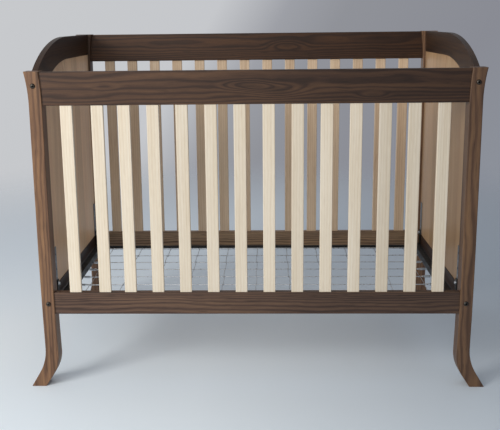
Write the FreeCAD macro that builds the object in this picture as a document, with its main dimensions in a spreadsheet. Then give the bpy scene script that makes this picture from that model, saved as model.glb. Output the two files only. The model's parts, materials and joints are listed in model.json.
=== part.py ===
"""Slatted baby crib with an S-curved walnut frame, maple slats and panels, and a wire mattress support.

Millimetres, +Z up, +X to the right, front side at -Y.  The origin is on the floor, at the middle.
"""
import FreeCAD, Part
import os
import Sketcher
from FreeCAD import Vector

doc = FreeCAD.newDocument("Crib")

# ---------------------------------------------------------------- driving dimensions
SIZES = {
    # overall
    "crib_depth": 770, "front_height": 1034, "rear_height": 1130,
    # posts: outline seen from the front, for the right-hand side
    "post_depth": 50, "edge_round": 2.5,
    "foot_outer": 742, "foot_inner": 694,
    "heel_outer_x": 714.8, "heel_outer_z": 45, "heel_inner_x": 668.2, "heel_inner_z": 40,
    "ankle_outer_x": 690.5, "ankle_outer_z": 130, "ankle_outer_bend": 160,
    "ankle_inner_x": 648.7, "ankle_inner_z": 105, "ankle_inner_bend": 120,
    "waist_z": 450, "chest_z": 700, "waist_outer": 694, "waist_inner": 653.3,
    "shin_outer_bend": 14630, "shin_inner_bend": 12940,
    "flare_rise": 104, "flare_outer": 11.5, "flare_inner": 6,
    "flare_outer_bend": 476, "flare_inner_bend": 904,
    "rear_lean_inner": 8, "rear_lean_bend": 680,
    # rails of the front and rear frames
    "rail_thick": 22, "rail_setback": 5, "rail_round": 2.5,
    "low_rail_z": 250, "low_rail_tall": 73.6, "top_rail_tall": 104, "rail_below_post": 1.5,
    "tenon_long": 10, "tenon_thick": 10, "tenon_shoulder": 12,
    # slats
    "slat_wide": 38, "slat_thick": 13, "slat_pitch": 89.5, "slat_setback": 8, "slat_let_in": 10,
    "slat_round": 2, "second_slat_shift": 6.6,
    # end panels and their rails: distance of the middle of the thickness from the crib's middle
    "panel_thick": 16, "end_rail_thick": 20, "arch_thick": 18,
    "end_low_front": 672, "end_low_rear": 670.5, "end_mid_front": 673.5, "end_mid_rear": 669.5,
    "end_lip_front": 683.5, "end_crown_front": 688, "end_crown_rear": 667.5,
    # arch of the end top rail: a circle that meets a level top
    "arch_bend": 725, "arch_level_from": 28, "arch_band": 77, "arch_below_post": 0.5,
    # bolts through the posts into the end rails
    "bolt_dia": 7.9, "bolt_hole_dia": 8.4, "bolt_head_dia": 16, "bolt_head_tall": 4.5,
    "bolt_reach": 100, "bolt_low_z": 286, "bolt_front_z": 990, "bolt_rear_z": 1091,
    "bolt_x_low": 671, "bolt_x_front": 678, "bolt_x_rear": 668.5,
    "nut_dia": 10, "nut_long": 14, "nut_inset": 36,
    # height strips on the end panels
    "strip_inner": 659, "strip_thick": 2.5, "strip_wide": 20, "strip_base": 325, "strip_tall": 130,
    "strip_from_post": 27, "notch_first": 330, "notch_pitch": 50, "notch_dia": 7,
    "strip_screw_dia": 5, "strip_screw_long": 14, "strip_screw_first": 355,
    # mattress support
    "angle_outer": 658, "angle_wide": 22, "angle_tall": 25, "angle_thick": 2.5,
    "angle_top": 283, "angle_long": 652, "angle_hole_dia": 4.4,
    "bar_thick": 3, "bar_tall": 12, "bar_top": 274,
    "rod_dia": 6, "rod_from_middle": 315.5, "deck_z": 263,
    "wire_dia": 3, "wire_pitch": 87, "wire_half": 600,
    "link_dia": 2.2, "link_pitch": 117.9, "link_clear": 0.2,
    "spring_dia": 9, "spring_bore_dia": 6, "spring_long": 26,
    "strap_outer": 658, "strap_thick": 3, "strap_tall": 60,
    "hook_bolt_dia": 6.6, "hook_head_dia": 13, "hook_head_tall": 5,
}
SLATS = 14
WIRES = 6
LINKS = 11
NOTCHES = 3

sheet = doc.addObject("Spreadsheet::Sheet", "Sizes")
for row, (alias, value) in enumerate(SIZES.items(), start=1):
    sheet.set(f"A{row}", alias)
    sheet.set(f"B{row}", str(value))
    sheet.setAlias(f"B{row}", alias)
doc.recompute()


def size(alias):
    """A driving dimension as a number."""
    return float(getattr(sheet, alias))


def cell(text):
    """Turn words of an expression into references to the sheet's cells."""
    words = text.replace("(", " ( ").replace(")", " ) ").split()
    return " ".join(f"Sizes.{word}" if word in SIZES else word for word in words)


def bind(thing, **fields):
    """Bind properties of an object to expressions in the sheet's aliases; __ stands for a dot."""
    for field, text in fields.items():
        thing.setExpression(field.replace("__", "."), cell(text))
    return thing


# every finished sub-part, by the name of its node
nodes = {}


def finish(name, thing):
    """Name a finished sub-part and keep it for export."""
    thing.Label = name
    nodes[name] = thing
    return thing


def place(thing, x="0", y="0", z="0"):
    return bind(thing, Placement__Base__x=x, Placement__Base__y=y, Placement__Base__z=z)


def box(name, x, y, z, length, width, height):
    """A rectangular block from its lowest corner, all sizes as expressions."""
    block = doc.addObject("Part::Box", name)
    bind(block, Length=length, Width=width, Height=height)
    return place(block, x, y, z)


def cylinder(name, radius, height, x, y, z, along):
    """A round bar from the middle of its first end, lying along X, Y or Z."""
    bar = doc.addObject("Part::Cylinder", name)
    bind(bar, Radius=radius, Height=height)
    turn = {"X": (Vector(0, 1, 0), 90), "Y": (Vector(1, 0, 0), -90), "Z": (Vector(0, 0, 1), 0)}[along]
    bar.Placement = FreeCAD.Placement(Vector(0, 0, 0), FreeCAD.Rotation(*turn))
    return place(bar, x, y, z)


def cut(name, base, tool):
    result = doc.addObject("Part::Cut", name)
    result.Base, result.Tool = base, tool
    return result


def common(name, base, tool):
    result = doc.addObject("Part::Common", name)
    result.Base, result.Tool = base, tool
    return result


def group(name, things):
    """Several separate solids held as one sub-part."""
    result = doc.addObject("Part::Compound", name)
    result.Links = things
    return result


def fuse(name, things):
    result = doc.addObject("Part::MultiFuse", name)
    result.Shapes = things
    return result


def mirror(name, thing):
    """The same piece for the other side of the crib."""
    result = doc.addObject("Part::Mirroring", name)
    result.Source = thing
    result.Normal = Vector(1, 0, 0)
    return result


def round_edges(name, thing, direction, radius):
    """Round a block's four long edges, the ones along one direction."""
    doc.recompute()
    result = doc.addObject("Part::Fillet", name)
    result.Base = thing
    along = {"X": Vector(1, 0, 0), "Y": Vector(0, 1, 0), "Z": Vector(0, 0, 1)}[direction]
    picked = []
    for number, edge in enumerate(thing.Shape.Edges, start=1):
        run = edge.Vertexes[-1].Point.sub(edge.Vertexes[0].Point)
        if run.cross(along).Length < 0.001 * run.Length:
            picked.append((number, radius, radius))
    result.Edges = picked
    return result


# ---------------------------------------------------------------- posts
def total(text):
    """The value of a sum or difference of aliases and numbers."""
    result, sign = 0.0, 1
    for word in text.split():
        if word in ("+", "-"):
            sign = 1 if word == "+" else -1
        else:
            result += sign * (size(word) if word in SIZES else float(word))
    return result


def arc_between(start, end, bend, bulge):
    """An arc of a given bend radius from start to end, standing out towards -x or +x."""
    chord = end.sub(start)
    sagitta = bend - (bend ** 2 - (chord.Length / 2) ** 2) ** 0.5
    outward = Vector(-chord.y, chord.x, 0).normalize()
    if outward.x * bulge < 0:
        outward = outward.negative()
    middle = start.add(end).multiply(0.5).add(outward.multiply(sagitta))
    return Part.Arc(start, middle, end)


def post_sketch(body, top, flare_start, inner_top, inner_bend):
    """The S-curved outline of the right-hand post in the XZ plane, held by the sheet's sizes."""
    corners = [
        ("foot_outer", "0"), ("heel_outer_x", "heel_outer_z"), ("ankle_outer_x", "ankle_outer_z"),
        ("waist_outer", "waist_z"), ("waist_outer", flare_start),
        ("waist_outer + flare_outer", top), (inner_top, top),
        ("waist_inner", flare_start), ("waist_inner", "waist_z"),
        ("ankle_inner_x", "ankle_inner_z"), ("heel_inner_x", "heel_inner_z"), ("foot_inner", "0"),
    ]
    # the edge that starts at each corner: its bend and the side it bulges to, by the corner's place
    bends = {1: ("ankle_outer_bend", -1), 2: ("shin_outer_bend", 1), 4: ("flare_outer_bend", -1),
             6: inner_bend, 8: ("shin_inner_bend", 1), 9: ("ankle_inner_bend", -1)}
    sketch = body.newObject("Sketcher::SketchObject", body.Name + "Outline")
    plane = [f for f in body.Origin.OriginFeatures if f.Role == "XZ_Plane"][0]
    sketch.AttachmentSupport = (plane, [""])
    sketch.MapMode = "FlatFace"
    points = [Vector(total(x), total(z), 0) for x, z in corners]
    ends = []
    for index, start in enumerate(points):
        end = points[(index + 1) % len(points)]
        if index in bends:
            bend, bulge = bends[index]
            curve = arc_between(start, end, size(bend), bulge)
            sketch.addGeometry(curve)
            first = 1 if sketch.getPoint(index, 1).distanceToPoint(start) < 0.01 else 2
            ends.append((first, 3 - first))
        else:
            sketch.addGeometry(Part.LineSegment(start, end))
            ends.append((1, 2))
    for index in range(len(points)):
        after = (index + 1) % len(points)
        sketch.addConstraint(Sketcher.Constraint("Coincident", index, ends[index][1], after, ends[after][0]))
    for index, (x, z) in enumerate(corners):
        point = (index, ends[index][0])
        number = sketch.addConstraint(Sketcher.Constraint("DistanceX", -1, 1, *point, points[index].x))
        sketch.setExpression(f"Constraints[{number}]", cell(x))
        if z == "0":
            sketch.addConstraint(Sketcher.Constraint("PointOnObject", *point, -1))
        else:
            number = sketch.addConstraint(Sketcher.Constraint("DistanceY", -1, 1, *point, points[index].y))
            sketch.setExpression(f"Constraints[{number}]", cell(z))
    for index, (bend, bulge) in bends.items():
        number = sketch.addConstraint(Sketcher.Constraint("Radius", index, size(bend)))
        sketch.setExpression(f"Constraints[{number}]", cell(bend))
    return sketch


def post(name, top, flare_start, back, inner_top, inner_bend):
    """A right-hand post before its holes: the outline, as deep as the post, with rounded long edges."""
    body = doc.addObject("PartDesign::Body", name)
    sketch = post_sketch(body, top, flare_start, inner_top, inner_bend)
    pad = body.newObject("PartDesign::Pad", name + "Pad")
    pad.Profile = sketch
    bind(pad, Length="post_depth")
    place(body, y=back)
    doc.recompute()
    edges = []
    for number, edge in enumerate(pad.Shape.Edges, start=1):
        heights = [vertex.Point.z for vertex in edge.Vertexes]
        if abs(heights[0] - heights[1]) > 1:
            edges.append(f"Edge{number}")
    rounding = body.newObject("PartDesign::Fillet", name + "Round")
    rounding.Base = (pad, edges)
    bind(rounding, Radius="edge_round")
    return body


# the front posts' tops flare outwards on both sides; the rear posts' inner side leans in instead
front_post = post("FrontPostBody", "front_height", "front_height - flare_rise", "post_depth - crib_depth / 2",
                  "waist_inner + flare_inner", ("flare_inner_bend", -1))
rear_post = post("RearPostBody", "rear_height", "rear_height - flare_rise", "crib_depth / 2",
                 "waist_inner - rear_lean_inner", ("rear_lean_bend", 1))


# ---------------------------------------------------------------- slats
FRONT_FACE = "slat_setback - crib_depth / 2"
REAR_FACE = "crib_depth / 2 - slat_setback - slat_thick"
SLAT_FOOT = "low_rail_z + low_rail_tall - slat_let_in"
FRONT_RAIL_TOP = "front_height - rail_below_post"
REAR_RAIL_TOP = "rear_height - rail_below_post"


def slat_row(side, face, rail_top):
    """The slats of one long side, each let into the rails at both ends."""
    row = []
    tall = f"{rail_top} - top_rail_tall + slat_let_in - ( {SLAT_FOOT} )"
    for number in range(1, SLATS + 1):
        middle = f"slat_pitch * {number - 1 - (SLATS - 1) / 2}"
        if side == "front" and number == 2:
            middle += " + second_slat_shift"
        block = box(f"{side}Slat{number}", f"{middle} - slat_wide / 2", face, SLAT_FOOT,
                    "slat_wide", "slat_thick", tall)
        slat = round_edges(f"{side}SlatRounded{number}", block, "Z", size("slat_round"))
        row.append(finish(f"{side}_slat_{number:02d}", slat))
    return row


front_slats = slat_row("front", FRONT_FACE, FRONT_RAIL_TOP)
rear_slats = slat_row("rear", REAR_FACE, REAR_RAIL_TOP)


# ---------------------------------------------------------------- rails of the long sides
def rail(name, face, base, tall, post_body, slats):
    """A rail between two posts: its ends follow the posts' curve, with a stub tenon at each end."""
    left_post = mirror(name + "LeftPost", post_body)
    reach = "waist_inner + post_depth / 2"
    block = box(name + "Block", f"0 - ( {reach} )", face, base, f"2 * ( {reach} )", "rail_thick", tall)
    rounded = round_edges(name + "Rounded", block, "X", size("rail_round"))
    shouldered = cut(name + "Shouldered", rounded, fuse(name + "Posts", [left_post, post_body]))
    span = "waist_inner + tenon_long"
    tenon = box(name + "Tenon", f"0 - ( {span} )", f"{face} + ( rail_thick - tenon_thick ) / 2",
                f"{base} + tenon_shoulder", f"2 * ( {span} )", "tenon_thick", f"{tall} - 2 * tenon_shoulder")
    whole = fuse(name + "WithTenons", [shouldered, tenon])
    return cut(name + "Mortised", whole, group(name + "SlatEnds", slats)), tenon


FRONT_RAIL_FACE = "rail_setback - crib_depth / 2"
REAR_RAIL_FACE = "crib_depth / 2 - rail_setback - rail_thick"
tenons = {"front": [], "rear": []}
for side, face, rail_top, post_body, slats in (
        ("front", FRONT_RAIL_FACE, FRONT_RAIL_TOP, front_post, front_slats),
        ("rear", REAR_RAIL_FACE, REAR_RAIL_TOP, rear_post, rear_slats)):
    for level, base, tall in (("top", f"{rail_top} - top_rail_tall", "top_rail_tall"),
                              ("bottom", "low_rail_z", "low_rail_tall")):
        piece, tenon = rail(f"{side}{level}Rail", face, base, tall, post_body, slats)
        finish(f"{side}_{level}_rail", piece)
        tenons[side].append(tenon)


# ---------------------------------------------------------------- end panels and their rails
def end_section(name, y, thick, low, mid, lip, crown):
    """A strip seen along Y that follows the S-curve; low to crown are where its middle stands."""
    levels = [("low_rail_z", low), ("waist_z", mid), ("chest_z", mid), ("front_height - flare_rise", mid),
              ("front_height", lip), ("rear_height", crown)]
    half = size(thick) / 2
    inner = [Vector(total(where) - half, 0, total(z)) for z, where in levels]
    outer = [Vector(total(where) + half, 0, total(z)) for z, where in levels]
    heights = [point.z for point in inner]
    shares = [(z - heights[0]) / (heights[-1] - heights[0]) for z in heights]
    curves = []
    for line in (inner, outer):
        curve = Part.BSplineCurve()
        curve.interpolate(Points=line, Parameters=shares)
        curves.append(curve.toShape())
    rungs = [Part.makeLine(inner[0], outer[0]), Part.makeLine(inner[-1], outer[-1])]
    section = doc.addObject("Part::Feature", name)
    section.Shape = Part.Wire([curves[0], rungs[1], curves[1], rungs[0]])
    return place(section, y=y)


def end_board(name, thick):
    """A board of one thickness that runs from the front post to the rear one along the S-curve."""
    front = end_section(name + "Front", "post_depth - crib_depth / 2", thick,
                        "end_low_front", "end_mid_front", "end_lip_front", "end_crown_front")
    rear = end_section(name + "Rear", "crib_depth / 2 - post_depth", thick,
                       "end_low_rear", "end_mid_rear", "end_mid_rear", "end_crown_rear")
    board = doc.addObject("Part::Loft", name)
    board.Sections = [front, rear]
    board.Solid = True
    board.Ruled = True
    return board


def arch_region(name, drop):
    """All that lies under the arch's top line, or under a line that runs drop below it, above the rail."""
    front = size("post_depth") - size("crib_depth") / 2
    rear = -front
    level_y, top = size("arch_level_from"), size("rear_height") - size("arch_below_post")
    bend = size("arch_bend")
    centre = Vector(0, level_y, top - bend)
    radius = bend - drop

    def on_arc(y):
        return Vector(0, y, centre.z + (radius ** 2 - (y - level_y) ** 2) ** 0.5)

    start, middle, end = on_arc(front), on_arc((front + level_y) / 2), on_arc(level_y)
    base = size("low_rail_z") + size("low_rail_tall")
    corner = Vector(0, rear, end.z)
    floor = [Vector(0, rear, base), Vector(0, front, base)]
    edges = [Part.Arc(start, middle, end).toShape(), Part.makeLine(end, corner),
             Part.makeLine(corner, floor[0]), Part.makeLine(floor[0], floor[1]), Part.makeLine(floor[1], start)]
    outline = doc.addObject("Part::Feature", name + "Outline")
    outline.Shape = Part.Wire(edges)
    region = doc.addObject("Part::Extrusion", name)
    region.Base = outline
    region.Dir = Vector(1, 0, 0)
    region.Solid = True
    return bind(region, LengthFwd="foot_outer")


under_arch = arch_region("UnderArch", 0)
under_band = arch_region("UnderBand", size("arch_band"))
panel_board = end_board("PanelBoard", "panel_thick")
arch_board = end_board("ArchBoard", "arch_thick")
rail_board = end_board("EndRailBoard", "end_rail_thick")
low_zone = box("LowZone", "0", "post_depth - crib_depth / 2", "low_rail_z",
               "foot_outer", "crib_depth - 2 * post_depth", "low_rail_tall")
panel = common("PanelWhole", panel_board, under_band)
arch = common("ArchWhole", arch_board, cut("ArchBand", under_arch, under_band))
end_rail = common("EndRailWhole", rail_board, low_zone)


# ---------------------------------------------------------------- bolts and barrel nuts
def bolt(name, x, z, front):
    """One bolt with a domed head, its clearance hole, its barrel nut and the nut's hole."""
    if front:
        head_face, hole_start = "0 - crib_depth / 2 - bolt_head_tall", "0 - crib_depth / 2 - 1"
        shank_start, nut_y = "0 - crib_depth / 2", "post_depth + nut_inset - crib_depth / 2"
    else:
        head_face, hole_start = "crib_depth / 2", "crib_depth / 2 - bolt_reach"
        shank_start, nut_y = "crib_depth / 2 - bolt_reach", "crib_depth / 2 - post_depth - nut_inset"
    dome = doc.addObject("Part::Sphere", name + "Dome")
    rise, half = size("bolt_head_tall"), size("bolt_head_dia") / 2
    ball = (half ** 2 + rise ** 2) / (2 * rise)
    dome.Radius = ball
    sink = f"{ball - rise}"
    place(dome, x, f"0 - crib_depth / 2 + {sink}" if front else f"crib_depth / 2 - {sink}", z)
    slab = box(name + "Slab", f"{x} - bolt_head_dia", head_face, f"{z} - bolt_head_dia",
               "2 * bolt_head_dia", "bolt_head_tall", "2 * bolt_head_dia")
    head = common(name + "Head", dome, slab)
    shank = cylinder(name + "Shank", "bolt_dia / 2", "bolt_reach", x, shank_start, z, "Y")
    hole = cylinder(name + "Hole", "bolt_hole_dia / 2", "bolt_reach + 1", x, hole_start, z, "Y")
    nut_bar = cylinder(name + "NutBar", "nut_dia / 2", "nut_long", f"{x} - nut_long / 2", nut_y, z, "X")
    thread = cylinder(name + "Thread", "bolt_dia / 2", "bolt_reach", x, shank_start, z, "Y")
    nut_hole = cylinder(name + "NutHole", "nut_dia / 2", "nut_long", f"{x} - nut_long / 2", nut_y, z, "X")
    return fuse(name, [head, shank]), hole, cut(name + "Nut", nut_bar, thread), nut_hole


places = {
    "FrontLow": ("bolt_x_low", "bolt_low_z", True), "FrontHigh": ("bolt_x_front", "bolt_front_z", True),
    "RearLow": ("bolt_x_low", "bolt_low_z", False), "RearHigh": ("bolt_x_rear", "bolt_rear_z", False),
}
bolts, holes, nuts, nut_holes = {}, {}, {}, {}
for name, spot in places.items():
    bolts[name], holes[name], nuts[name], nut_holes[name] = bolt("Bolt" + name, *spot)


def both_sides(name, things):
    """The right-hand pieces and their mirror images, as one sub-part."""
    right = group(name + "Right", things)
    return group(name, [right, mirror(name + "Left", right)])


finish("post_bolts", both_sides("PostBolts", list(bolts.values())))
finish("barrel_nuts", both_sides("BarrelNuts", list(nuts.values())))


# ---------------------------------------------------------------- height strips and the wood they screw to
def strips_and_holes():
    """A drilled steel strip at the front and the rear of the right end panel, with its screws."""
    strips, screws, sockets = [], [], []
    for label, y in (("Front", "post_depth - crib_depth / 2 + strip_from_post - strip_wide / 2"),
                     ("Rear", "crib_depth / 2 - post_depth - strip_from_post - strip_wide / 2")):
        plate = box(label + "StripPlate", "strip_inner", y, "strip_base", "strip_thick", "strip_wide", "strip_tall")
        middle = f"{y} + strip_wide / 2"
        drills = []
        for step in range(NOTCHES):
            drills.append(cylinder(f"{label}Notch{step}", "notch_dia / 2", "2 * strip_thick",
                                   "strip_inner - strip_thick / 2", middle,
                                   f"notch_first + {step} * notch_pitch", "X"))
        for step in range(NOTCHES - 1):
            spot = (middle, f"strip_screw_first + {step} * notch_pitch")
            screw = cylinder(f"{label}Screw{step}", "strip_screw_dia / 2", "strip_screw_long",
                             "strip_inner", *spot, "X")
            screws.append(screw)
            sockets.append(screw)
        strips.append(cut(label + "Strip", plate, fuse(label + "StripHoles", drills + screws[-(NOTCHES - 1):])))
    return strips, screws, sockets


strips, strip_screws, sockets = strips_and_holes()
for strip, where in zip(strips, ("front", "rear")):
    finish(f"height_strip_{where}_right", strip)
    finish(f"height_strip_{where}_left", mirror(f"{where}StripLeft", strip))
finish("strip_screws", both_sides("StripScrews", strip_screws))


def both(name, right):
    finish(name + "_right", right)
    finish(name + "_left", mirror(name + "Left", right))


both("front_post", cut("FrontPost", front_post, fuse("FrontPostHoles",
     tenons["front"] + [holes["FrontLow"], holes["FrontHigh"]])))
both("rear_post", cut("RearPost", rear_post, fuse("RearPostHoles",
     tenons["rear"] + [holes["RearLow"], holes["RearHigh"]])))
both("end_panel", cut("Panel", panel, fuse("PanelSockets", sockets)))
both("end_top_rail", cut("EndTopRail", arch, group("ArchHoles",
     [holes["FrontHigh"], holes["RearHigh"], nut_holes["FrontHigh"], nut_holes["RearHigh"]])))
both("end_bottom_rail", cut("EndBottomRail", end_rail, group("EndRailHoles",
     [holes["FrontLow"], holes["RearLow"], nut_holes["FrontLow"], nut_holes["RearLow"]])))


# ---------------------------------------------------------------- mattress support: frame
ANGLE_INNER = "angle_outer - angle_wide"
shelf = box("AngleShelf", ANGLE_INNER, "0 - angle_long / 2", "angle_top - angle_thick",
            "angle_wide", "angle_long", "angle_thick")
web = box("AngleWeb", ANGLE_INNER, "0 - angle_long / 2", "angle_top - angle_tall",
          "angle_thick", "angle_long", "angle_tall")
wire_rows = [f"wire_pitch * {number - (WIRES - 1) / 2}" for number in range(WIRES)]
hook_holes = [cylinder(f"HookHole{number}", "angle_hole_dia / 2", "2 * angle_thick",
                       f"{ANGLE_INNER} - angle_thick / 2", y, "deck_z", "X")
              for number, y in enumerate(wire_rows)]
angle = cut("Angle", fuse("AngleWhole", [shelf, web]), group("HookHoles", hook_holes))
both("support_angle", angle)

ROD_Y = {"front": "0 - rod_from_middle", "rear": "rod_from_middle"}
BAR_Y = {"front": "0 - angle_long / 2", "rear": "angle_long / 2 - bar_thick"}
rods = []
for where in ("front", "rear"):
    bar = box(f"{where}Bar", f"0 - ( {ANGLE_INNER} )", BAR_Y[where], "bar_top - bar_tall",
              f"2 * ( {ANGLE_INNER} )", "bar_thick", "bar_tall")
    finish(f"support_side_bar_{where}", bar)
    rods.append(cylinder(f"{where}Rod", "rod_dia / 2", f"2 * ( {ANGLE_INNER} )", f"0 - ( {ANGLE_INNER} )",
                         ROD_Y[where], "deck_z", "X"))
finish("border_rods", group("BorderRods", rods))


# ---------------------------------------------------------------- mattress support: wires, links and springs
lengthwise = [cylinder(f"Wire{number}", "wire_dia / 2", "2 * wire_half", "0 - wire_half", y, "deck_z", "X")
              for number, y in enumerate(wire_rows)]
finish("lengthwise_wires", group("LengthwiseWires", lengthwise))

link_columns = [f"link_pitch * {number - (LINKS - 1) / 2}" for number in range(LINKS)]
links = []
for column, x in enumerate(link_columns):
    for row in range(WIRES - 1):
        links.append(cylinder(f"Link{column}x{row}", "link_dia / 2", "wire_pitch - wire_dia - 2 * link_clear",
                              x, f"{wire_rows[row]} + wire_dia / 2 + link_clear", "deck_z", "Y"))
finish("cross_links", group("CrossLinks", links))

edge_gap = "rod_from_middle - rod_dia / 2 - wire_pitch * 2.5 - wire_dia / 2 - 2 * link_clear"
edge_hooks = []
for column, x in enumerate(link_columns):
    for where, start in (("front", "rod_dia / 2 + link_clear - rod_from_middle"),
                         ("rear", "wire_pitch * 2.5 + wire_dia / 2 + link_clear")):
        edge_hooks.append(cylinder(f"{where}EdgeHook{column}", "link_dia / 2", edge_gap, x, start, "deck_z", "Y"))
finish("edge_hooks", group("EdgeHooks", edge_hooks))

springs = []
for number, y in enumerate(wire_rows):
    start = f"{ANGLE_INNER} - spring_long - 4"
    coil = cylinder(f"Spring{number}", "spring_dia / 2", "spring_long", start, y, "deck_z", "X")
    bore = cylinder(f"SpringBore{number}", "spring_bore_dia / 2", "spring_long", start, y, "deck_z", "X")
    springs.append(cut(f"SpringCoil{number}", coil, bore))
finish("end_springs", both_sides("EndSprings", springs))


# ---------------------------------------------------------------- mattress support: straps and hook bolts
straps, hook_bolts = [], []
for where, y in (("Front", "post_depth - crib_depth / 2 + strip_from_post"),
                 ("Rear", "crib_depth / 2 - post_depth - strip_from_post")):
    plate = box(where + "StrapPlate", "strap_outer - strap_thick", f"{y} - strip_wide / 2", "angle_top",
                "strap_thick", "strip_wide", "strap_tall")
    drill = cylinder(where + "StrapHole", "notch_dia / 2", "2 * strap_thick",
                     "strap_outer - 1.5 * strap_thick", y, "notch_first", "X")
    straps.append(cut(where + "Strap", plate, drill))
    shank = cylinder(where + "HookShank", "hook_bolt_dia / 2", "strap_thick",
                     "strap_outer - strap_thick", y, "notch_first", "X")
    head = cylinder(where + "HookHead", "hook_head_dia / 2", "hook_head_tall",
                    "strap_outer - strap_thick - hook_head_tall", y, "notch_first", "X")
    hook_bolts.append(fuse(where + "HookBolt", [shank, head]))
finish("corner_straps", both_sides("CornerStraps", straps))
finish("hook_bolts", both_sides("HookBolts", hook_bolts))


# ---------------------------------------------------------------- check and write
doc.recompute()
for thing in doc.Objects:
    if "Invalid" in thing.State or "Error" in thing.State:
        raise RuntimeError(f"{thing.Name} did not build: {thing.State}")
for name, thing in nodes.items():
    if thing.Shape.isNull() or not thing.Shape.isValid() or not thing.Shape.Solids:
        raise RuntimeError(f"{name} has no valid solid")
os.makedirs("parts", exist_ok=True)
for name, thing in nodes.items():
    thing.Shape.exportStep(f"parts/{name}.step")
print(len(nodes), "sub-parts written")
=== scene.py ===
"""Baby crib: walnut frame, maple slats and end panels, wire mattress support.

Metres, +Z up, front side at -Y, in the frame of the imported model.
"""
import json
import math

import bmesh
import bpy
from mathutils import Euler, Matrix, Vector

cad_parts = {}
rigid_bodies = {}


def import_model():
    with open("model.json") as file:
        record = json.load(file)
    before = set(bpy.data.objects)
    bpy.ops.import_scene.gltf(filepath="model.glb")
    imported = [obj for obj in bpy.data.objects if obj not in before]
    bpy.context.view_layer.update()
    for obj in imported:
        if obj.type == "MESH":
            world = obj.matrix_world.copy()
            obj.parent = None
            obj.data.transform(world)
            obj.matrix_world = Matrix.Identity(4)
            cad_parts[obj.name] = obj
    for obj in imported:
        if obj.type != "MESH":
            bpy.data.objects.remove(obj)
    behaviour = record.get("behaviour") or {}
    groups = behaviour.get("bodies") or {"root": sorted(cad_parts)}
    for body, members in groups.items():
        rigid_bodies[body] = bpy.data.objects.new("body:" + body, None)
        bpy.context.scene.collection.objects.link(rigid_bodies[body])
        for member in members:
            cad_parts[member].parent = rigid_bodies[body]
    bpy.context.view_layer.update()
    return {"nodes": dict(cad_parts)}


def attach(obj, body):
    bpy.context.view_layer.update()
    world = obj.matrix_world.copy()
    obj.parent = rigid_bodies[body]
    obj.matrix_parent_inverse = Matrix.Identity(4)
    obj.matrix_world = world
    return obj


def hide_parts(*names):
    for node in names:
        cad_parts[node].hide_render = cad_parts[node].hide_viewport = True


for left_over in list(bpy.data.objects):
    bpy.data.objects.remove(left_over)
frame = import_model()
nodes = frame["nodes"]
MM = 0.001


# ---------------------------------------------------------------- camera
CAMERA_PLACE = Vector((0.0272, -2.7930, 1.1872))
CAMERA_YAW, CAMERA_PITCH, CAMERA_ROLL = 0.0302, -0.2013, -0.0116
CAMERA_LENS, CAMERA_SHIFT = 56.87, (0.0200, -0.0716)


def make_camera():
    """The camera in front of the crib, a little above its rails, with a small shift for the framing."""
    data = bpy.data.cameras.new("camera")
    data.lens = CAMERA_LENS
    data.shift_x, data.shift_y = CAMERA_SHIFT
    camera = bpy.data.objects.new("camera", data)
    bpy.context.scene.collection.objects.link(camera)
    turn = (Matrix.Rotation(CAMERA_YAW, 4, "Z") @ Matrix.Rotation(math.pi / 2 + CAMERA_PITCH, 4, "X")
            @ Matrix.Rotation(CAMERA_ROLL, 4, "Z"))
    camera.matrix_world = Matrix.Translation(CAMERA_PLACE) @ turn
    bpy.context.scene.camera = camera


make_camera()


# ---------------------------------------------------------------- colours and nodes
def linear(colour):
    """An sRGB hex colour such as "#5a463b" as a linear RGBA tuple."""
    parts = [int(colour[i:i + 2], 16) / 255 for i in (1, 3, 5)]
    return tuple(p / 12.92 if p <= 0.04045 else ((p + 0.055) / 1.055) ** 2.4 for p in parts) + (1.0,)


def toned(colour, tint):
    """A hex colour with its red, green and blue light each scaled by a factor, as a linear RGBA tuple."""
    return tuple(part * factor for part, factor in zip(linear(colour), (*tint, 1.0)))


def add(tree, kind, inputs=None, **settings):
    """Add a node, with its settings and with inputs given as values or as sockets to link."""
    made = tree.nodes.new(kind)
    for name, value in settings.items():
        setattr(made, name, value)
    for name, value in (inputs or {}).items():
        if isinstance(value, bpy.types.NodeSocket):
            tree.links.new(value, made.inputs[name])
        else:
            made.inputs[name].default_value = value
    return made


def ramp(tree, factor, stops, interpolation="LINEAR"):
    """A colour ramp through (position, linear colour) stops, read at a factor."""
    made = add(tree, "ShaderNodeValToRGB", {"Fac": factor})
    made.color_ramp.interpolation = interpolation
    elements = made.color_ramp.elements
    while len(elements) < len(stops):
        elements.new(0.5)
    for element, (position, colour) in zip(elements, stops):
        element.position, element.color = position, colour
    return made


def new_material(name):
    """An empty node material: its tree, and the shader that fills it."""
    material = bpy.data.materials.new(name)
    material.use_nodes = True
    tree = material.node_tree
    tree.nodes.clear()
    shader = add(tree, "ShaderNodeBsdfPrincipled")
    add(tree, "ShaderNodeOutputMaterial", {"Surface": shader.outputs["BSDF"]})
    return material, tree, shader


# ---------------------------------------------------------------- wood
# Walnut, planed and oiled: brown with a purple cast, wavy darker growth lines, open pores as short
# dark dashes along the grain, and a satin surface.
WALNUT = {"stops": ("#28180f", "#442c21", "#5f412e"), "pore": "#180d08", "ring": 6 * MM, "drift": 0.045,
          "wave": 0.012, "ring_strength": 0.36, "fibre": 0.15, "pore_amount": 0.5, "rough": (0.38, 0.52)}
# The same walnut sawn on the quarter: straighter and fainter growth lines.
CALM_WALNUT = dict(WALNUT, ring_strength=0.26, drift=0.03)
# Hard maple, planed and lacquered: creamy, nearly even, with faint tan growth lines and fine fibres.
MAPLE = {"stops": ("#d2c1a8", "#ddd0bb", "#e6dccb"), "pore": "#b0936f", "ring": 9 * MM, "drift": 0.03,
         "wave": 0.01, "ring_strength": 0.22, "fibre": 0.045, "pore_amount": 0.18, "rough": (0.34, 0.42)}
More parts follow.
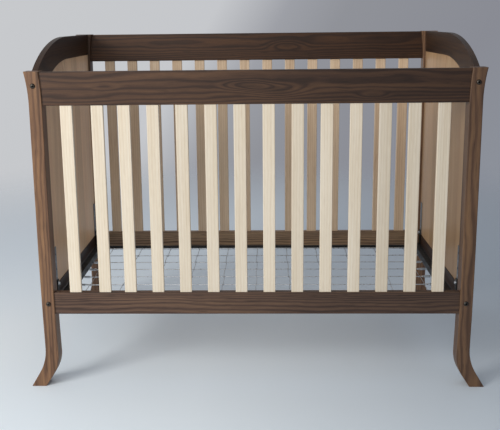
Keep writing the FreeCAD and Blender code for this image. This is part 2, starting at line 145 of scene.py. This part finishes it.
# The same maple on the rear side, painted darker and browner: painted shade.
PAINTED_SHADE_MAPLE = dict(MAPLE, stops=("#bda184", "#d2b99d", "#dfcab0"), pore="#93704f")
# The same maple painted darker and tanner for the end panels, whose inner faces stand in shade: painted
# shade.
TAN_PAINTED_SHADE_MAPLE = dict(MAPLE, stops=("#b08f70", "#c9ab8b", "#d8bf9f"), pore="#8d6a4a", ring_strength=0.35,
                 fibre=0.06)

# The turn that lays the pattern's Z along the grain, by the axis that the board runs along.
GRAIN_TURN = {"X": Euler((0, -math.pi / 2, 0)), "Y": Euler((math.pi / 2, 0, 0)), "Z": Euler((0, 0, 0))}
GRAIN_STRETCH = Vector((1, 1, 0.05))     # rings, fibres and pores run 20 times longer along the grain
FIGURE_STRETCH = Vector((1, 1, 0.24))    # waves and knots are about 4 times longer along the grain
# Scales of the noise textures, per metre.
DRIFT_SCALE, WAVE_SCALE, BAND_SCALE = 9.0, 17.0, 38.0
FIBRE_SCALE, PORE_SCALE = 600.0, 330.0   # fibres coarser than the real ones, so that they show
RING_SCALE = 0.314                       # the wave texture's scale for rings a metre apart
# One growth ring, from pale early wood to dark late wood: share of the ring, and grey.
RING_GREYS = ((0.0, 0.8), (0.3, 1.0), (0.82, 0.12), (1.0, 0.8))
HEART_SHARE = 0.45                       # of a knot's radius, the part that its heart shades
# How far the pattern moves along X, Y and Z from board to board, by the axis the boards are counted on.
SHIFT_REACH = {"X": (0.09, 0.07, 4.7), "Y": (0.07, 0.16, 4.7)}


def own_shift(tree, place, cells):
    """Boards side by side: coordinates moved to a new part of the pattern for each, and a shade for each."""
    axis, width, start, spread = cells
    split = add(tree, "ShaderNodeSeparateXYZ", {"Vector": place})
    count = add(tree, "ShaderNodeMath", {0: split.outputs[axis], 1: -start}, operation="ADD")
    count = add(tree, "ShaderNodeMath", {0: count.outputs[0], 1: width}, operation="DIVIDE")
    count = add(tree, "ShaderNodeMath", {0: count.outputs[0]}, operation="FLOOR")
    chance = add(tree, "ShaderNodeTexWhiteNoise", {"W": count.outputs[0]}, noise_dimensions="1D")
    shade = add(tree, "ShaderNodeMapRange", {"Value": chance.outputs["Value"], "To Min": 1 - spread,
                                             "To Max": 1 + spread})
    shift = add(tree, "ShaderNodeVectorMath", {0: chance.outputs["Color"], 1: SHIFT_REACH[axis]},
                operation="MULTIPLY")
    moved = add(tree, "ShaderNodeVectorMath", {0: place, 1: shift.outputs[0]}, operation="ADD")
    return moved.outputs[0], shade.outputs[0]


def timber(name, wood, grain, tint, pith, cells=None, knots=(), fade=None):
    """A planed board: growth rings round a pith line, drifting bands, fibres and pores along the grain.

    pith is a point that the line round which the rings grow passes through.
    cells is (axis, width, start, spread) for boards side by side, each with a shift and shade of its own.
    knots are (centre, radius, push, heart): places that the rings close round, where the tree had a
    branch, and the share of the light left in their hearts.
    fade is (axis, start, end, factor): painted shade, the board painted darker or lighter along an axis as
    less or more light falls on it.
    """
    material, tree, shader = new_material(name)
    whole = add(tree, "ShaderNodeTexCoord").outputs["Object"]
    place, shade = own_shift(tree, whole, cells) if cells else (whole, None)
    turn = GRAIN_TURN[grain].to_matrix()
    board = add(tree, "ShaderNodeMapping", {"Vector": place, "Rotation": GRAIN_TURN[grain],
                                            "Location": turn @ -Vector(pith)}).outputs[0]
    along = add(tree, "ShaderNodeVectorMath", {0: board, 1: GRAIN_STRETCH}, operation="MULTIPLY").outputs[0]
    figure = add(tree, "ShaderNodeVectorMath", {0: board, 1: FIGURE_STRETCH}, operation="MULTIPLY").outputs[0]
    wavy = along
    for source, scale, reach in ((along, DRIFT_SCALE, wood["drift"]), (figure, WAVE_SCALE, wood["wave"])):
        warp = add(tree, "ShaderNodeTexNoise", {"Vector": source, "Scale": scale, "Detail": 2.0,
                                                "Roughness": 0.5})
        warp = add(tree, "ShaderNodeVectorMath", {0: warp.outputs["Color"], 1: (0.5, 0.5, 0.5)},
                   operation="SUBTRACT")
        warp = add(tree, "ShaderNodeVectorMath", {0: warp.outputs[0], 1: (reach, reach, 0.0)},
                   operation="MULTIPLY")
        wavy = add(tree, "ShaderNodeVectorMath", {0: wavy, 1: warp.outputs[0]}, operation="ADD").outputs[0]
    hearts = []
    for centre, radius, push, heart in knots:
        spot = (turn @ (Vector(centre) - Vector(pith))) * FIGURE_STRETCH
        away = add(tree, "ShaderNodeVectorMath", {0: figure, 1: spot}, operation="DISTANCE")
        swell = add(tree, "ShaderNodeMapRange", {"Value": away.outputs["Value"], "From Max": radius,
                                                 "To Min": push, "To Max": 0.0},
                    interpolation_type="SMOOTHERSTEP")
        swell = add(tree, "ShaderNodeCombineXYZ", {"Y": swell.outputs[0]})
        wavy = add(tree, "ShaderNodeVectorMath", {0: wavy, 1: swell.outputs[0]}, operation="ADD").outputs[0]
        hearts.append(add(tree, "ShaderNodeMapRange", {"Value": away.outputs["Value"],
                                                       "From Max": radius * HEART_SHARE, "To Min": heart},
                          interpolation_type="SMOOTHSTEP").outputs[0])
    rings = add(tree, "ShaderNodeTexWave", {"Vector": wavy, "Scale": RING_SCALE / wood["ring"]},
                wave_type="RINGS", rings_direction="Z", wave_profile="SAW")
    growth = ramp(tree, rings.outputs["Fac"],
                  [(share, (grey, grey, grey, 1)) for share, grey in RING_GREYS], "EASE")
    bands = add(tree, "ShaderNodeTexNoise", {"Vector": wavy, "Scale": BAND_SCALE, "Detail": 3.0,
                                             "Roughness": 0.55})
    mixed = add(tree, "ShaderNodeMix", {0: wood["ring_strength"], 2: bands.outputs["Fac"],
                                        3: growth.outputs["Color"]}, data_type="FLOAT")
    # The tint scales the wood's colours; the callers pass each board's painted light and shade in it.
    dark, middle, light = (toned(colour, tint) for colour in wood["stops"])
    body = ramp(tree, mixed.outputs[0], [(0.2, dark), (0.5, middle), (0.8, light)])
    fibres = add(tree, "ShaderNodeTexNoise", {"Vector": along, "Scale": FIBRE_SCALE, "Detail": 2.0,
                                              "Roughness": 0.7})
    streak = add(tree, "ShaderNodeMapRange", {"Value": fibres.outputs["Fac"], "From Min": 0.3,
                                              "From Max": 0.7, "To Min": 1 - wood["fibre"],
                                              "To Max": 1 + wood["fibre"]}).outputs[0]
    shades = hearts + ([shade] if shade else [])
    # Painted shade: the colour scaled along an axis, darker where the board gets less light.
    if fade:
        axis, start, end, factor = fade
        spot = add(tree, "ShaderNodeSeparateXYZ", {"Vector": whole}).outputs[axis]
        shades.append(add(tree, "ShaderNodeMapRange", {"Value": spot, "From Min": start, "From Max": end,
                                                       "To Min": 1.0, "To Max": factor},
                          interpolation_type="SMOOTHSTEP").outputs[0])
    for factor in shades:
        streak = add(tree, "ShaderNodeMath", {0: streak, 1: factor}, operation="MULTIPLY").outputs[0]
    grey = add(tree, "ShaderNodeCombineColor", {0: streak, 1: streak, 2: streak})
    shaded = add(tree, "ShaderNodeMix", {0: 1.0, 6: body.outputs["Color"], 7: grey.outputs[0]},
                 data_type="RGBA", blend_type="MULTIPLY")
    pores = add(tree, "ShaderNodeTexNoise", {"Vector": along, "Scale": PORE_SCALE, "Detail": 1.0})
    pore = add(tree, "ShaderNodeMapRange", {"Value": pores.outputs["Fac"], "From Min": 0.6,
                                            "From Max": 0.74, "To Max": wood["pore_amount"]})
    colour = add(tree, "ShaderNodeMix", {0: pore.outputs[0], 6: shaded.outputs[2],
                                         7: toned(wood["pore"], tint)}, data_type="RGBA")
    low, high = wood["rough"]
    rough = add(tree, "ShaderNodeMapRange", {"Value": fibres.outputs["Fac"], "To Min": low, "To Max": high})
    height = add(tree, "ShaderNodeMath", {0: fibres.outputs["Fac"], 1: pore.outputs[0]},
                 operation="SUBTRACT")
    bump = add(tree, "ShaderNodeBump", {"Height": height.outputs[0], "Strength": 0.25, "Distance": 0.2 * MM})
    tree.links.new(colour.outputs[2], shader.inputs["Base Color"])
    tree.links.new(rough.outputs[0], shader.inputs["Roughness"])
    tree.links.new(bump.outputs[0], shader.inputs["Normal"])
    shader.inputs["IOR"].default_value = 1.5
    shader.inputs["Specular IOR Level"].default_value = 0.35
    return material


# ---------------------------------------------------------------- metal
CLOUD_DARK, CLOUD_LIGHT = (0.8,) * 3, (1.15,) * 3


def metal(name, colour, rough, grit, metallic=1.0):
    """Plated or painted steel: cloudy roughness and a fine grit in the surface."""
    material, tree, shader = new_material(name)
    place = add(tree, "ShaderNodeTexCoord").outputs["Object"]
    cloud = add(tree, "ShaderNodeTexNoise", {"Vector": place, "Scale": 90.0, "Detail": 4.0})
    low, high = rough
    thin, thick = 0.3, 0.7               # where a cloud's effect starts and is full
    gloss = add(tree, "ShaderNodeMapRange", {"Value": cloud.outputs["Fac"], "From Min": thin,
                                             "From Max": thick, "To Min": low, "To Max": high})
    body = ramp(tree, cloud.outputs["Fac"], [(thin, toned(colour, CLOUD_DARK)),
                                             (thick, toned(colour, CLOUD_LIGHT))])
    grain = add(tree, "ShaderNodeTexNoise", {"Vector": place, "Scale": 1.0 / grit, "Detail": 2.0})
    bump = add(tree, "ShaderNodeBump", {"Height": grain.outputs["Fac"], "Strength": 0.1,
                                        "Distance": grit * 0.2})
    tree.links.new(body.outputs["Color"], shader.inputs["Base Color"])
    tree.links.new(gloss.outputs[0], shader.inputs["Roughness"])
    tree.links.new(bump.outputs[0], shader.inputs["Normal"])
    shader.inputs["Metallic"].default_value = metallic
    return material


# Bright zinc plate on drawn steel wire: silvery with a cool cast, clouded where the plate dulled.
bright_zinc_wire = metal("bright_zinc_plated_wire", "#c3c9cf", (0.22, 0.42), 0.4 * MM)
# Zinc plate on rolled strip: greyer and duller than the wire.
dull_zinc_strip = metal("dull_zinc_plated_strip", "#8d949c", (0.38, 0.55), 0.6 * MM)
# Black oxide on turned bolts: near black, with a soft glint.
black_oxide_bolt = metal("black_oxide_turned_bolt", "#4a4642", (0.25, 0.38), 0.3 * MM)
# Black baked enamel on rolled angle and bar: half gloss, with a slight orange peel.
black_baked_enamel = metal("black_baked_enamel", "#0d0c0c", (0.42, 0.58), 2.5 * MM, metallic=0.0)


def paint(name, material):
    """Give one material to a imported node."""
    thing = nodes[name]
    thing.data.materials.clear()
    thing.data.materials.append(material)


# How much red, green and blue light each board gives back, against its wood above: painted light and shade,
# which make boards in the light lighter and boards in shade darker, so boards of one wood differ.
PLAIN = (1.0, 1.0, 1.0)
RAIL_PAINTED_LIGHT = {"front_top": (0.9, 0.97, 0.94), "front_bottom": (1.36, 1.7, 1.95),
              "rear_top": (0.8, 0.74, 0.56), "rear_bottom": (3.4, 4.9, 5.2)}
POST_PAINTED_LIGHT = {"left": (2.5, 2.95, 2.75), "right": (1.6, 1.95, 1.9)}
# Painted light and shade: the rear-left post is painted darker, as in shade, and the rear-right post lighter,
# as in the light.
REAR_POST_PAINTED_LIGHT_SHARE = {"left": 0.5, "right": 1.6}       # of the front post's tint on the same hand
# Painted light and shade: the left panel is painted lighter and the right panel darker.
PANEL_PAINTED_LIGHT = {"left": (1.3, 1.26, 1.24), "right": (0.74, 0.66, 0.56)}
# Painted shade on the end top rails.
ARCH_PAINTED_SHADE = (0.56, 0.58, 0.47)
# Painted shade on the end bottom rails, whose inner faces stand in shadow.
END_RAIL_PAINTED_SHADE = (0.5, 0.5, 0.5)
# Painted shade: the share of light left at the right-hand end of the top rail, the bottom rail and the slats,
# painted into their colour.
PAINTED_SHADE_FADES = {"front": (0.6, 0.66, 0.88), "rear": (0.7, 0.9, 1.0)}
RAIL_FADE_FROM, SLAT_FADE_FROM, FADE_TO = -0.5, 0.0, 0.6

SLATS, SLAT_PITCH = 14, 0.0895
STAVE_WIDTH = 0.078                                 # of the boards that each panel is glued from
# Knots: centre, radius, push, heart.
RAIL_KNOTS = {"front": [((-0.46, -0.38, 0.983), 0.018, 0.004, 0.95),
                        ((-0.02, -0.38, 0.985), 0.03, 0.014, 0.7),
                        ((0.07, -0.38, 0.970), 0.035, 0.014, 0.75),
                        ((0.36, -0.38, 0.952), 0.02, 0.010, 0.8)],
              "rear": [((0.12, 0.36, 1.08), 0.03, 0.016, 0.85)]}
PANEL_KNOTS = {"left": [((-0.67, -0.245, 0.83), 0.012, 0.006, 0.25)], "right": []}

for side, way, top_pith, slat_wood in (("front", -1, 0.99, MAPLE), ("rear", 1, 1.10, PAINTED_SHADE_MAPLE)):
    top_fade, bottom_fade, slat_fade = PAINTED_SHADE_FADES[side]
    paint(f"{side}_top_rail", timber(f"walnut_{side}_top_rail", WALNUT, "X", RAIL_PAINTED_LIGHT[f"{side}_top"],
                                     (0.0, way * 0.31, top_pith), knots=RAIL_KNOTS[side],
                                     fade=("X", RAIL_FADE_FROM, FADE_TO, top_fade)))
    paint(f"{side}_bottom_rail", timber(f"walnut_{side}_bottom_rail", WALNUT, "X",
                                        RAIL_PAINTED_LIGHT[f"{side}_bottom"], (2.3, way * 0.33, 0.25),
                                        fade=("X", RAIL_FADE_FROM, FADE_TO, bottom_fade)))
    slats = timber(f"maple_{side}_slats", slat_wood, "Z", PLAIN, (0.0, way * 0.34, 0.3),
                   ("X", SLAT_PITCH, 0.0, 0.05), fade=("X", SLAT_FADE_FROM, FADE_TO, slat_fade))
    for number in range(1, SLATS + 1):
        paint(f"{side}_slat_{number:02d}", slats)
for hand, side in (("left", -1), ("right", 1)):
    for end, way, share in (("front", -1, 1.0), ("rear", 1, REAR_POST_PAINTED_LIGHT_SHARE[hand])):
        paint(f"{end}_post_{hand}", timber(f"walnut_{end}_post_{hand}", CALM_WALNUT, "Z",
                                           [share * part for part in POST_PAINTED_LIGHT[hand]],
                                           (side * 0.70, way * 0.30, side)))
    paint(f"end_top_rail_{hand}", timber(f"walnut_arch_{hand}", CALM_WALNUT, "Y", ARCH_PAINTED_SHADE,
                                         (side * 0.62, side, 1.05)))
    paint(f"end_bottom_rail_{hand}", timber(f"walnut_end_rail_{hand}", WALNUT, "Y", END_RAIL_PAINTED_SHADE,
                                            (side * 0.61, side + 3, 0.27)))
    paint(f"end_panel_{hand}", timber(f"maple_panel_{hand}", TAN_PAINTED_SHADE_MAPLE, "Z", PANEL_PAINTED_LIGHT[hand],
                                      (side * 0.61, 0.0, side), ("Y", STAVE_WIDTH, 0.0, 0.12),
                                      knots=PANEL_KNOTS[hand]))
    for end in ("front", "rear"):
        paint(f"height_strip_{end}_{hand}", dull_zinc_strip)
    paint(f"support_angle_{hand}", black_baked_enamel)
for name in ("support_side_bar_front", "support_side_bar_rear", "corner_straps"):
    paint(name, black_baked_enamel)
for name in ("border_rods", "barrel_nuts"):
    paint(name, bright_zinc_wire)


# ---------------------------------------------------------------- bolts and screws
SIDES = (-1, 1)
SMOOTH_ANGLE = math.radians(35)
POST_FACE_Y = 0.385
# Post bolts of one side: distance from the crib's middle, height, and which way the head points in Y.
POST_BOLTS = ((0.671, 0.286, -1), (0.678, 0.990, -1), (0.671, 0.286, 1), (0.6685, 1.091, 1))
STRIP_Y = (-0.308, 0.308)                # the height strips' middles
SCREW_SEAT_X, SCREW_HEIGHTS = 0.6589, (0.355, 0.405)
HOOK_BOLT_SEAT_X, HOOK_BOLT_Z = 0.655, 0.330


def finish_piece(name, mesh, material, body, packed):
    """A finished mesh as a piece of the crib: its finish, the body it rides on and the node it stands for."""
    mesh.materials.append(material)
    mesh.polygons.foreach_set("use_smooth", [True] * len(mesh.polygons))
    mesh.set_sharp_from_angle(angle=SMOOTH_ANGLE)
    piece = bpy.data.objects.new(name, mesh)
    bpy.context.scene.collection.objects.link(piece)
    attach(piece, body)
    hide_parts(packed)


def driven_bolt(profile, drive, drive_radius, drive_depth, segments=28):
    """Turn a (radius, height) profile into a bolt and sink a socket of 4 or 6 sides in its head.

    The profile starts at the rim of the socket and ends on the axis; heights are in mm from the head's seat.
    """
    shape = bmesh.new()
    corners = [shape.verts.new((radius * MM, 0, height * MM)) for radius, height in profile]
    edges = [shape.edges.new(pair) for pair in zip(corners, corners[1:])]
    bmesh.ops.spin(shape, geom=corners + edges, cent=(0, 0, 0), axis=(0, 0, 1), angle=2 * math.pi,
                   steps=segments, use_merge=True)
    bmesh.ops.remove_doubles(shape, verts=shape.verts, dist=0.001 * MM)
    ring = [edge for edge in shape.edges if edge.is_boundary]
    socket = bmesh.ops.create_circle(shape, cap_ends=False, segments=drive, radius=drive_radius * MM)["verts"]
    bmesh.ops.translate(shape, verts=socket, vec=(0, 0, profile[0][1] * MM))
    hole = list({edge for vert in socket for edge in vert.link_edges})
    bmesh.ops.bridge_loops(shape, edges=ring + hole)
    walls = bmesh.ops.extrude_edge_only(shape, edges=hole)["geom"]
    bmesh.ops.translate(shape, verts=[part for part in walls if isinstance(part, bmesh.types.BMVert)],
                        vec=(0, 0, -drive_depth * MM))
    bmesh.ops.contextual_create(shape, geom=[part for part in walls if isinstance(part, bmesh.types.BMEdge)])
    return to_mesh("bolt", shape)


def hexagon_bolt():
    """A hexagon head with chamfered top corners on a washer, with a short shank."""
    shape = bmesh.new()
    for sides, radius, low, high, chamfer in ((28, 6.5, 0.0, 1.2, 0.25), (6, 5.7, 1.2, 5.0, 0.7),
                                              (20, 3.2, -3.0, 0.0, 0.2)):
        slug = bmesh.ops.create_cone(shape, cap_ends=True, segments=sides, radius1=radius * MM,
                                     radius2=radius * MM, depth=(high - low) * MM)["verts"]
        bmesh.ops.translate(shape, verts=slug, vec=(0, 0, (low + high) / 2 * MM))
        top = list({edge for vert in slug for edge in vert.link_edges
                    if all(end.co.z > (high - 0.01) * MM for end in edge.verts)})
        bmesh.ops.bevel(shape, geom=top, offset=chamfer * MM, segments=2, profile=0.5, affect="EDGES",
                        material=-1)
    return to_mesh("hexagon_bolt", shape)


def to_mesh(name, shape):
    """A bmesh as a mesh whose faces point outwards."""
    bmesh.ops.recalc_face_normals(shape, faces=shape.faces)
    mesh = bpy.data.meshes.new(name)
    shape.to_mesh(mesh)
    shape.free()
    return mesh


def repeated(name, pattern, spots):
    """Copies of one mesh, each with its seat at a spot and its head pointing outward, as one mesh."""
    shape = bmesh.new()
    for spot, outward in spots:
        before = len(shape.verts)
        shape.from_mesh(pattern)
        shape.verts.ensure_lookup_table()
        turn = Vector((0, 0, 1)).rotation_difference(Vector(outward)).to_matrix().to_4x4()
        bmesh.ops.transform(shape, matrix=Matrix.Translation(spot) @ turn, verts=shape.verts[before:])
    bpy.data.meshes.remove(pattern)
    mesh = bpy.data.meshes.new(name)
    shape.to_mesh(mesh)
    shape.free()
    return mesh


def post_bolts():
    """Eight long bolts with low domed heads and a hexagon socket, through the posts into the end rails."""
    bolt = driven_bolt([(3.3, 4.3), (4.6, 4.1), (6.0, 3.4), (7.1, 2.3), (7.8, 0.9), (8.0, 0.5), (8.0, 0.0),
                        (3.95, 0.0), (3.95, -98.5), (2.9, -100.0), (0.0, -100.0)], 6, 2.9, 2.6)
    spots = [((side * x, way * POST_FACE_Y, z), (0, way, 0)) for side in SIDES for x, z, way in POST_BOLTS]
    finish_piece("socket_head_post_bolts", repeated("post_bolts", bolt, spots), black_oxide_bolt,
                 "crib_frame", "post_bolts")


def strip_screws():
    """Flat-head screws, flush with the height strips, with a square drive."""
    screw = driven_bolt([(2.1, 0.0), (3.9, 0.0), (3.7, -0.4), (2.5, -1.8), (2.5, -11.0), (0.0, -14.0)],
                        4, 1.6, 1.4, segments=20)
    spots = [((side * SCREW_SEAT_X, y, z), (-side, 0, 0)) for side in SIDES
             for y in STRIP_Y for z in SCREW_HEIGHTS]
    finish_piece("flat_head_strip_screws", repeated("strip_screws", screw, spots), bright_zinc_wire,
                 "crib_frame", "strip_screws")


def hook_bolts():
    """Four hexagon-head bolts with washers, which hold the support's straps to the height strips."""
    spots = [((side * HOOK_BOLT_SEAT_X, y, HOOK_BOLT_Z), (-side, 0, 0)) for side in SIDES for y in STRIP_Y]
    finish_piece("hexagon_hook_bolts", repeated("hook_bolts", hexagon_bolt(), spots), bright_zinc_wire,
                 "mattress_support", "hook_bolts")


# ---------------------------------------------------------------- wire deck
DECK_Z = 0.263
WIRE_PITCH, LINK_PITCH = 0.087, 0.1179
WIRE_ROWS = [WIRE_PITCH * (row - 2.5) for row in range(6)]
LINK_COLUMNS = [LINK_PITCH * (column - 5) for column in range(11)]
WIRE_RADIUS, LINK_RADIUS, SPRING_WIRE_RADIUS = 1.5 * MM, 1.1 * MM, 0.75 * MM
ROD_Y, ROD_RADIUS = 0.3155, 3.0 * MM
EYE_X, EYE_RADIUS, WIRE_STRAIGHT_TO = 0.6005, 3.4 * MM, 0.59
COIL_FROM, COIL_TO, COIL_RADIUS, COIL_TURNS = 0.6075, 0.6310, 3.75 * MM, 12


def bent_wire(name, paths, radius, packed):
    """Round wire bent along each path of points, closed at its ends, as one piece of the mattress support."""
    curve = bpy.data.curves.new(name, "CURVE")
    curve.dimensions = "3D"
    curve.bevel_depth, curve.bevel_resolution, curve.use_fill_caps = radius, 1, True
    for path in paths:
        spline = curve.splines.new("POLY")
        spline.points.add(len(path) - 1)
        for point, spot in zip(spline.points, path):
            point.co = (*spot, 1.0)
    shaper = bpy.data.objects.new(name + "_shaper", curve)
    bpy.context.scene.collection.objects.link(shaper)
    bpy.context.view_layer.update()
    mesh = bpy.data.meshes.new_from_object(shaper.evaluated_get(bpy.context.evaluated_depsgraph_get()))
    bpy.data.objects.remove(shaper)
    mesh.materials.clear()
    finish_piece(name, mesh, bright_zinc_wire, "mattress_support", packed)


def arc(centre, radius, start, end, steps, plane):
    """Points round an arc in the "xy", "yz" or "xz" plane, angles in degrees from the plane's first axis."""
    points = []
    for step in range(steps + 1):
        angle = math.radians(start + (end - start) * step / steps)
        spot = dict(zip("xyz", centre))
        spot[plane[0]] += radius * math.cos(angle)
        spot[plane[1]] += radius * math.sin(angle)
        points.append((spot["x"], spot["y"], spot["z"]))
    return points


def deck_wires():
    """Six lengthwise wires, each with an eye turned at both ends."""
    paths = []
    for y in WIRE_ROWS:
        right = arc((EYE_X, y, DECK_Z), EYE_RADIUS, 180, -150, 16, "xy")
        left = arc((-EYE_X, y, DECK_Z), EYE_RADIUS, 330, 0, 16, "xy")
        paths.append(left + [(-WIRE_STRAIGHT_TO, y, DECK_Z), (WIRE_STRAIGHT_TO, y, DECK_Z)] + right)
    bent_wire("eyed_deck_wires", paths, WIRE_RADIUS, "lengthwise_wires")


def end_springs():
    """Twelve close-wound springs, each hooked in a wire's eye and through the angle's web."""
    steps = 12                           # points in each turn of the coil
    paths = []
    for side in SIDES:
        for y in WIRE_ROWS:
            path = arc((0.6035, y, DECK_Z), 2.9 * MM, -70, -290, 10, "xz")
            for step in range(COIL_TURNS * steps + 1):
                angle = 2 * math.pi * step / steps
                path.append((COIL_FROM + (COIL_TO - COIL_FROM) * step / (COIL_TURNS * steps),
                             y + COIL_RADIUS * math.sin(angle), DECK_Z + COIL_RADIUS * math.cos(angle)))
            path += [(0.6325, y, DECK_Z + 2.6 * MM), (0.6338, y, DECK_Z + 0.6 * MM), (0.6352, y, DECK_Z),
                     (0.6392, y, DECK_Z)]
            path += arc((0.6392, y, DECK_Z + 3.0 * MM), 3.0 * MM, -60, 110, 6, "xz")
            paths.append([(side * x, y_, z) for x, y_, z in path])
    bent_wire("hooked_end_springs", paths, SPRING_WIRE_RADIUS, "end_springs")


def hooked_link(x, first, first_radius, second, second_radius):
    """A link over two wires: a hook under each, and a straight run over the tops between them."""
    return (arc((x, first, DECK_Z), first_radius, 290, 90, 9, "yz")
            + arc((x, second, DECK_Z), second_radius, 90, -110, 9, "yz"))


def deck_links():
    """Links that tie each wire to the next, and the outer wires to the border rods."""
    gap = 0.1 * MM
    over_wire, over_rod = WIRE_RADIUS + LINK_RADIUS + gap, ROD_RADIUS + LINK_RADIUS + gap
    beside = 1.3 * MM
    inner, outer = [], []
    for x in LINK_COLUMNS:
        for row in range(len(WIRE_ROWS) - 1):
            shift = beside if row % 2 else -beside
            inner.append(hooked_link(x + shift, WIRE_ROWS[row], over_wire, WIRE_ROWS[row + 1], over_wire))
        outer.append(hooked_link(x + beside, -ROD_Y, over_rod, WIRE_ROWS[0], over_wire))
        outer.append(hooked_link(x + beside, WIRE_ROWS[-1], over_wire, ROD_Y, over_rod))
    bent_wire("hooked_cross_links", inner, LINK_RADIUS, "cross_links")
    bent_wire("hooked_rim_links", outer, LINK_RADIUS, "edge_hooks")


post_bolts()
strip_screws()
hook_bolts()
deck_wires()
end_springs()
deck_links()


# ---------------------------------------------------------------- floor and light
FLOOR_SOLID_TO, FLOOR_GONE_AT, FLOOR_RADIUS = 1.3, 4.2, 4.5
# The floor's colour is painted greyer to the right: painted shade where less light falls.
FLOOR_GREYS_FROM, FLOOR_GREYS_TO = -0.2, 1.6
FLOOR_PAINTED_SHADE_COLOURS = ((0.0, "#e8f3fd"), (1.0, "#b6c2cf"))
# The backdrop is pale at the left and a cooler grey at the right, a little less so higher up.
BACKDROP_SLOPE, BACKDROP_REACH = (1.0, 0.0, -0.6), 0.4
BACKDROP_COLOURS = ((0.0, "#d7d9dc"), (0.42, "#d4d6da"), (0.53, "#a9abb2"),
                    (0.62, "#9b9da4"), (0.85, "#94969f"), (1.0, "#979ca6"))
# Its strength falls from a low direction to a high one, as under a darker ceiling.
CEILING_FROM, CEILING_TO, LOW_STRENGTH, HIGH_STRENGTH = 0.08, 0.6, 0.85, 0.66
DAYLIGHT = "#fffaf2"


def make_floor():
    """A pale floor, painted greyer to the right as painted shade, that fades into the backdrop away from the
    crib.
    """
    material, tree, shader = new_material("pale_matt_floor")
    shader.inputs["Roughness"].default_value = 0.85
    place = add(tree, "ShaderNodeTexCoord").outputs["Object"]
    across = add(tree, "ShaderNodeSeparateXYZ", {"Vector": place}).outputs["X"]
    across = add(tree, "ShaderNodeMapRange", {"Value": across, "From Min": FLOOR_GREYS_FROM,
                                              "From Max": FLOOR_GREYS_TO}).outputs[0]
    colour = ramp(tree, across, [(spot, linear(colour)) for spot, colour in FLOOR_PAINTED_SHADE_COLOURS])
    tree.links.new(colour.outputs["Color"], shader.inputs["Base Color"])
    reach = add(tree, "ShaderNodeVectorMath", {0: place}, operation="LENGTH").outputs["Value"]
    faded = add(tree, "ShaderNodeMapRange", {"Value": reach, "From Min": FLOOR_SOLID_TO,
                                             "From Max": FLOOR_GONE_AT, "To Min": 1.0, "To Max": 0.0},
                interpolation_type="SMOOTHSTEP")
    tree.links.new(faded.outputs[0], shader.inputs["Alpha"])
    mesh = bpy.data.meshes.new("floor")
    shape = bmesh.new()
    bmesh.ops.create_circle(shape, cap_ends=True, segments=64, radius=FLOOR_RADIUS)
    shape.to_mesh(mesh)
    shape.free()
    mesh.materials.append(material)
    floor = bpy.data.objects.new("floor", mesh)
    bpy.context.scene.collection.objects.link(floor)


def area_light(name, place, aim, size, power, colour):
    """A soft rectangular light at a place, turned to face its aim."""
    data = bpy.data.lights.new(name, "AREA")
    data.shape, data.size, data.size_y = "RECTANGLE", *size
    data.energy, data.color = power, linear(colour)[:3]
    light = bpy.data.objects.new(name, data)
    bpy.context.scene.collection.objects.link(light)
    light.location = place
    light.rotation_euler = (Vector(aim) - Vector(place)).to_track_quat("-Z", "Y").to_euler()


def make_backdrop():
    """The world's light: a gradient from left to right, dimmed towards the ceiling."""
    world = bpy.data.worlds.new("studio")
    world.use_nodes = True
    tree = world.node_tree
    background = tree.nodes["Background"]
    facing = add(tree, "ShaderNodeTexCoord").outputs["Generated"]
    across = add(tree, "ShaderNodeVectorMath", {0: facing, 1: BACKDROP_SLOPE},
                 operation="DOT_PRODUCT").outputs["Value"]
    across = add(tree, "ShaderNodeMapRange", {"Value": across, "From Min": -BACKDROP_REACH,
                                              "From Max": BACKDROP_REACH}).outputs[0]
    soft = ramp(tree, across, [(spot, linear(colour)) for spot, colour in BACKDROP_COLOURS])
    upward = add(tree, "ShaderNodeSeparateXYZ", {"Vector": facing}).outputs["Z"]
    ceiling = add(tree, "ShaderNodeMapRange", {"Value": upward, "From Min": CEILING_FROM,
                                               "From Max": CEILING_TO, "To Min": LOW_STRENGTH,
                                               "To Max": HIGH_STRENGTH})
    tree.links.new(soft.outputs["Color"], background.inputs["Color"])
    tree.links.new(ceiling.outputs[0], background.inputs["Strength"])
    bpy.context.scene.world = world


make_floor()
bpy.context.scene.view_settings.view_transform = "Standard"
make_backdrop()
area_light("window_left", (-2.6, -2.5, 1.9), (0.0, -0.2, 0.6), (1.4, 1.4), 72, DAYLIGHT)
area_light("front_fill", (-0.8, -3.2, 1.9), (0.0, -0.2, 0.5), (1.8, 1.2), 21, DAYLIGHT)
